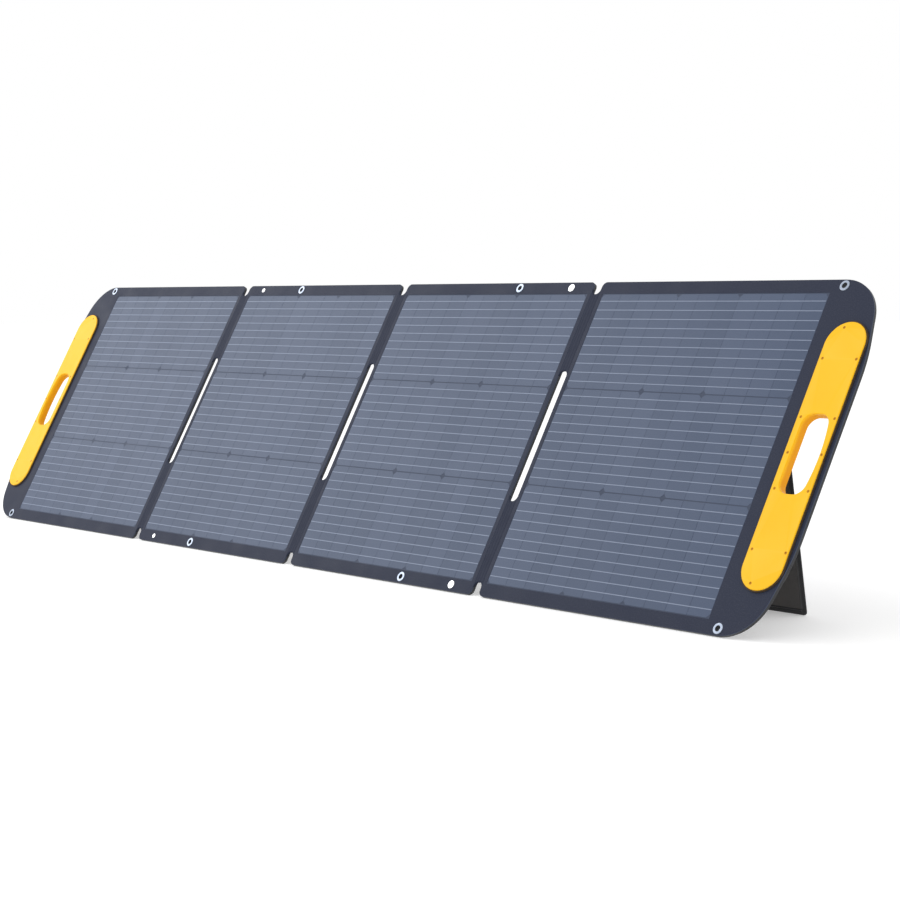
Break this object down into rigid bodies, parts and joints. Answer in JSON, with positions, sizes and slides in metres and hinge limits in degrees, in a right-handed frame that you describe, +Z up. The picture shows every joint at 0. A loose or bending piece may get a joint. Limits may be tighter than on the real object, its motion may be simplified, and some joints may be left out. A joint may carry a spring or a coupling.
{
  "type": "folding solar panel",
  "caption": "Folding camping solar panel in leaves joined by soft creases, with looped carrying handles at the ends, rows of dark cell strips, border eyelets and rear stand flaps.",
  "frame": {"origin": "centre of the unfolded, propped panel on the floor it stands on", "axes": "+X along the unfolded length, from the junction-box end to the other handle; +Y towards the back, where the stands are; +Z up"},
  "size_m": [2.378, 0.2951, 0.5286],
  "materials": {
    "border_skin": "fine pebble emboss",
    "fold_skin": "fine ribbed matt",
    "board": "matt",
    "back_fabric": "coated Oxford weave",
    "cell": "satin under embossed film",
    "ribbon": "tinned",
    "nickel": "bright nickel",
    "magnet": "plated",
    "handle_yellow": "satin moulded",
    "gasket": "matt",
    "screw": "dark zinc",
    "stand_board": "coated weave",
    "webbing": "woven tape",
    "hook_and_loop": "napped",
    "box_plastic": "spark-eroded",
    "terminal": "tinned brass",
    "diode": "moulded"
  },
  "bodies": {
    "panel_2": {"front_sheet_2": "border_skin", "stiffener_board_2": "board", "back_cover_2": "back_fabric", "cell_strips_2": "cell", "busbar_ribbons_2": "ribbon", "eyelets_2": "nickel", "closure_studs_2": "nickel", "fold_strip_1": "fold_skin", "jumper_ribbons_1": "ribbon", "fold_strip_2": "fold_skin", "jumper_ribbons_2": "ribbon"},
    "panel_1": {"front_sheet_1": "border_skin", "stiffener_board_1": "board", "back_cover_1": "back_fabric", "cell_strips_1": "cell", "busbar_ribbons_1": "ribbon", "eyelets_1": "nickel", "closure_magnets_1": "magnet", "handle_front_plate_left": "handle_yellow", "handle_rear_plate_left": "box_plastic", "handle_screws_left": "screw", "handle_gasket_left": "gasket", "stand_hinge_base_left": "stand_board", "stand_loop_patch_left": "hook_and_loop", "stand_hinge_tape_left": "webbing", "stand_limit_strap_left": "webbing", "junction_box_base": "box_plastic", "junction_box_lid": "box_plastic", "junction_box_screws": "screw", "junction_box_terminals": "terminal", "bypass_diodes": "diode", "cable_gland": "box_plastic"},
    "stand_left": {"stand_flap_left": "stand_board", "stand_hook_patch_left": "hook_and_loop"},
    "panel_3": {"front_sheet_3": "border_skin", "stiffener_board_3": "board", "back_cover_3": "back_fabric", "cell_strips_3": "cell", "busbar_ribbons_3": "ribbon", "eyelets_3": "nickel", "closure_studs_3": "nickel", "fold_strip_3": "fold_skin", "jumper_ribbons_3": "ribbon"},
    "panel_4": {"front_sheet_4": "border_skin", "stiffener_board_4": "board", "back_cover_4": "back_fabric", "cell_strips_4": "cell", "busbar_ribbons_4": "ribbon", "eyelets_4": "nickel", "closure_magnets_4": "magnet", "handle_front_plate_right": "handle_yellow", "handle_rear_plate_right": "box_plastic", "handle_screws_right": "screw", "handle_gasket_right": "gasket", "stand_hinge_base_right": "stand_board", "stand_loop_patch_right": "hook_and_loop", "stand_hinge_tape_right": "webbing", "stand_limit_strap_right": "webbing"},
    "stand_right": {"stand_flap_right": "stand_board", "stand_hook_patch_right": "hook_and_loop"}
  },
  "joints": [
    {"name": "fold_centre", "type": "hinge", "parent": "panel_2", "child": "panel_3", "pos_m": [0, 0.00394, 0.262], "axis": [0, 0.4818, 0.8763], "range_deg": [0, 179.9], "deforming": ["fold_strip_2", "jumper_ribbons_2"]},
    {"name": "fold_left", "type": "hinge", "parent": "panel_2", "child": "panel_1", "pos_m": [-0.546, -0.00394, 0.26633], "axis": [0, 0.4818, 0.8763], "range_deg": [0, 179.9], "deforming": ["fold_strip_1", "jumper_ribbons_1"]},
    {"name": "fold_right", "type": "hinge", "parent": "panel_3", "child": "panel_4", "pos_m": [0.546, -0.00394, 0.26633], "axis": [0, -0.4818, -0.8763], "range_deg": [0, 179.9], "deforming": ["fold_strip_3", "jumper_ribbons_3"]},
    {"name": "stand_left_hinge", "type": "hinge", "parent": "panel_1", "child": "stand_left", "pos_m": [-0.9315, 0.05873, 0.35284], "axis": [1, 0, 0], "range_deg": [-38.8, 0], "deforming": ["stand_hinge_tape_left", "stand_limit_strap_left"]},
    {"name": "stand_right_hinge", "type": "hinge", "parent": "panel_4", "child": "stand_right", "pos_m": [0.9315, 0.05873, 0.35284], "axis": [1, 0, 0], "range_deg": [-38.8, 0], "deforming": ["stand_hinge_tape_right", "stand_limit_strap_right"]}
  ],
  "couplings": [
    {"joint": "fold_left", "follows": "fold_centre", "ratio": 1},
    {"joint": "fold_right", "follows": "fold_centre", "ratio": 1}
  ]
}
